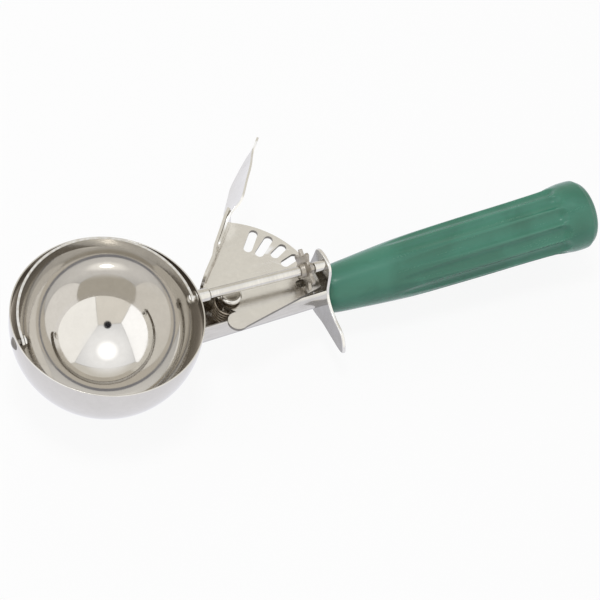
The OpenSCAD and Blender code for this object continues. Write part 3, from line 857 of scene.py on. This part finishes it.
def makeHandle(size):
    line = smoothLine(size["line"], 4)
    fine = [line[0]]
    for a, b in zip(line, line[1:]):
        parts = max(1, round((b[0] - a[0]) / 1.3))
        fine += [(a[0] + (b[0] - a[0]) * k / parts, a[1] + (b[1] - a[1]) * k / parts)
                 for k in range(1, parts + 1)]
    fine += size["butt"]
    piece = turned("gripBar", fine, size["sides"])
    group = piece.vertex_groups.new(name="flutes")
    reach = size["floor"] + size["cutter"]
    for vert in piece.data.vertices:
        x, y, z = vert.co / mm
        radius = math.hypot(x, y)
        if radius < 8 or z > 97:    # the nose's end and the butt's ring stay round
            continue
        angle = (math.atan2(y, x) - math.radians(size["turn"])) % (2 * pi / size["flutes"])
        angle = min(angle, 2 * pi / size["flutes"] - angle)
        past = max(z - size["fluteEnd"], 0)
        inside = size["cutter"] ** 2 - (reach * math.sin(angle)) ** 2 - past ** 2
        depth = radius - (reach * math.cos(angle) - math.sqrt(inside)) if inside > 0 else -1
        depth = (depth + math.hypot(depth, size["soft"])) / 2
        if depth > 0.004:
            group.add([vert.index], min(depth / size["deepest"], 1), "REPLACE")
    applied(piece, "DISPLACE", direction="NORMAL", strength=-size["deepest"] * mm, mid_level=0,
            vertex_group="flutes")
    atGuard = Matrix.Translation((size["x"] * mm, 0, size["z"] * mm))
    tilt = Matrix.Rotation(math.radians(90 - size["rise"]), 4, "Y")
    place(piece, atGuard @ tilt @ Matrix.Translation((0, 0, size["start"] * mm)))
    shaded(piece, 50, weighted=False)
    finishPiece(piece, "frame", "handle_green", greenPlastic, "handle")


makeHandle(handleSize)

# hidden and small CAD pieces keep their solids

keptNodes = {"rivet_washer": satinSteel, "tang": satinSteel, "post_washer": springSteel,
             "fan_bush": brightSteel, "spindle_rod": brightSteel}
for name, material in keptNodes.items():
    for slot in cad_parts[name].material_slots:
        slot.material = material
print("pieces ready")

# studio: floor, lamps, surroundings and camera

studioLook = {"floorZ": -36.6, "floorWhite": 0.9, "mirroredFloor": (0.97, 0.975, 1.04), "world": 0.6}


def makeFloor(look):
    deselectAll()
    bpy.ops.mesh.primitive_plane_add(size=6, location=(0, 0, look["floorZ"] * mm))
    floor = bpy.context.object
    floor.name = "paleFloor"
    bake(floor)
    edit(floor, everything=True)
    bpy.ops.mesh.subdivide(number_cuts=3)
    done()
    material = bpy.data.materials.new("paleFloor")
    material.use_nodes = True
    tree = material.node_tree
    add, link = nodeSet(tree)
    tree.nodes.remove(tree.nodes["Principled BSDF"])
    rays = add("ShaderNodeLightPath")
    seen = add("ShaderNodeMath", operation="MAXIMUM")
    also = add("ShaderNodeMath", operation="MAXIMUM")
    link(rays.outputs["Is Camera Ray"], seen.inputs[0])
    link(rays.outputs["Is Glossy Ray"], seen.inputs[1])
    link(seen.outputs[0], also.inputs[0])
    link(rays.outputs["Is Transmission Ray"], also.inputs[1])
    share = add("ShaderNodeMath", operation="MULTIPLY")
    share.inputs[1].default_value = look["floorWhite"]
    link(also.outputs[0], share.inputs[0])
    plain = add("ShaderNodeBsdfDiffuse", Color=(0.8, 0.8, 0.8, 1))
    white = add("ShaderNodeEmission", Strength=1.0)
    tint = add("ShaderNodeMix", data_type="RGBA")
    tint.inputs["A"].default_value = (*look["mirroredFloor"], 1)
    tint.inputs["B"].default_value = (1, 1, 1, 1)
    link(rays.outputs["Is Camera Ray"], tint.inputs["Factor"])
    link(tint.outputs["Result"], white.inputs["Color"])
    mix = add("ShaderNodeMixShader")
    link(share.outputs[0], mix.inputs["Fac"])
    link(plain.outputs[0], mix.inputs[1])
    link(white.outputs[0], mix.inputs[2])
    link(mix.outputs[0], tree.nodes["Material Output"].inputs["Surface"])
    floor.data.materials.append(material)


makeFloor(studioLook)


tentLook = {"roof": (1.00, 1.01, 1.03), "seam": 0.025, "walls": [    # each wall's slope and colour
    ((0.766, 2.091, 0), (0.82, 0.79, 0.725)), ((-1.556, 0.144, 0), (1.5, 1.51, 1.53)),
    ((-0.309, -1.636, 0), (0.98, 0.94, 0.87)), ((1.847, -1.944, 0), (1.28, 1.27, 1.24))],
    "foot": (0.9, 0.89, 0.87), "seamTone": (0.16, 0.15, 0.14),
    "spot": (-0.08, 0.05, 0.995), "glow": [    # start and full strength, as the cosine from the spot
        (0.80, 0.985, (1.24, 1.25, 1.27)), (0.965, 1.002, (1.95, 1.97, 2.0)),
        (0.996, 0.9992, (8.0, 8.0, 7.9))],
    "opening": (-0.265, -0.459, 0.848), "openingEdge": (0.9955, 0.9975),
    "holes": ((0.03, 0.03, 0.035), (0.40, 0.41, 0.46))}    # the opening, and where mirrored twice


# mirrors show a light tent: a roof with a lamp over it, four walls and one opening
def makeWorld(look, tent):
    world = bpy.data.worlds.new("studioRoom")
    bpy.context.scene.world = world
    world.use_nodes = True
    tree = world.node_tree
    add, link = nodeSet(tree)
    where = add("ShaderNodeTexCoord")
    direction = where.outputs["Generated"]

    def slope(vector):
        dot = add("ShaderNodeVectorMath", operation="DOT_PRODUCT")
        dot.inputs[1].default_value = vector
        link(direction, dot.inputs[0])
        return dot.outputs["Value"]

    def spread(value, low, high, least, most):
        node = add("ShaderNodeMapRange", interpolation_type="SMOOTHSTEP")
        for key, number in zip(("From Min", "From Max", "To Min", "To Max"), (low, high, least, most)):
            node.inputs[key].default_value = number
        link(value, node.inputs["Value"])
        return node.outputs[0]

    def math2(operation, first, second):
        node = add("ShaderNodeMath", operation=operation)
        for i, value in enumerate((first, second)):
            if isinstance(value, (int, float)):
                node.inputs[i].default_value = value
            else:
                link(value, node.inputs[i])
        return node.outputs[0]

    def mixed(share, first, second):
        node = add("ShaderNodeMix", data_type="RGBA")
        for key, value in (("Factor", share), ("A", first), ("B", second)):
            socket = [i for i in node.inputs if i.name == key and i.enabled][0]
            if isinstance(value, tuple):
                socket.default_value = (*value, 1)
            else:
                link(value, socket)
        return [o for o in node.outputs if o.enabled][0]

    height = slope((0, 0, 1))
    best, colour = height, tent["roof"]
    for vector, tint in tent["walls"]:
        reach = slope(vector)
        over = math2("SUBTRACT", reach, best)
        colour = mixed(spread(over, -0.01, 0.01, 0, 1), colour, tint)
        line = spread(math2("ABSOLUTE", over, 0), 0.0, tent["seam"], 0.45, 0)
        colour = mixed(line, colour, tent["seamTone"])
        best = math2("MAXIMUM", best, reach)
    colour = mixed(spread(height, 0.0, 0.25, 0.35, 0), colour, tent["foot"])
    nearLamp = slope(tent["spot"])
    for start, full, bright in tent["glow"]:
        colour = mixed(spread(nearLamp, start, full, 0, 1), colour, bright)
    hole = slope(tent["opening"])
    rays = add("ShaderNodeLightPath")
    again = math2("GREATER_THAN", rays.outputs["Ray Depth"], 2.5)
    colour = mixed(spread(hole, *tent["openingEdge"], 0, 1), colour, mixed(again, *tent["holes"]))
    mirror = math2("MAXIMUM", rays.outputs["Is Glossy Ray"], rays.outputs["Is Transmission Ray"])
    colour = mixed(mirror, (1.0, 1.0, 1.0), colour)
    seen = math2("MAXIMUM", rays.outputs["Is Camera Ray"], mirror)
    level = add("ShaderNodeMapRange")
    level.inputs["To Min"].default_value = look["world"]
    level.inputs["To Max"].default_value = 1.0
    link(seen, level.inputs["Value"])
    back = tree.nodes["Background"]
    link(colour, back.inputs["Color"])
    link(level.outputs[0], back.inputs["Strength"])


makeWorld(studioLook, tentLook)


def addLamp(name, spot, size, power):
    deselectAll()
    bpy.ops.object.light_add(type="AREA", location=spot)
    lamp = bpy.context.object
    lamp.name = name
    lamp.data.shape = "DISK"
    lamp.data.size = size
    lamp.data.energy = power
    lamp.visible_glossy = False    # mirrors show the tent instead
    aim = Vector((0.05, 0, -0.01)) - Vector(spot)
    lamp.rotation_euler = aim.to_track_quat("-Z", "Y").to_euler()


addLamp("keyLamp", (-0.08, 0.05, 0.95), 0.26, 3.0)
addLamp("sideLamp", (-0.75, 0.1, 0.5), 0.6, 1.2)
addLamp("backLamp", (0.2, 0.9, 0.6), 0.6, 1.0)

cameraView = {"turn": -36.72, "height": 52.55, "roll": 16.06, "distance": 663, "aim": (63.9, -13.3, 0),
              "lens": 118.17}


def makeCamera(view):
    turn, height, roll = (math.radians(view[key]) for key in ("turn", "height", "roll"))
    back = Vector((math.sin(turn) * math.cos(height), -math.cos(turn) * math.cos(height),
                   math.sin(height)))
    right = (-back).cross(Vector((0, 0, 1))).normalized()
    up = right.cross(-back)
    across = right * math.cos(roll) + up * math.sin(roll)
    over = up * math.cos(roll) - right * math.sin(roll)
    spot = Vector(view["aim"]) * mm + back * view["distance"] * mm
    deselectAll()
    bpy.ops.object.camera_add()
    camera = bpy.context.object
    camera.name = "studioCamera"
    camera.data.lens = view["lens"]
    camera.data.sensor_width = 36
    camera.data.clip_start, camera.data.clip_end = 0.01, 20
    camera.matrix_world = Matrix((
        (across.x, over.x, back.x, spot.x), (across.y, over.y, back.y, spot.y),
        (across.z, over.z, back.z, spot.z), (0, 0, 0, 1)))
    bpy.context.scene.camera = camera


makeCamera(cameraView)
bpy.context.scene.view_settings.view_transform = "Standard"
print("studio ready")

bpy.context.view_layer.update()
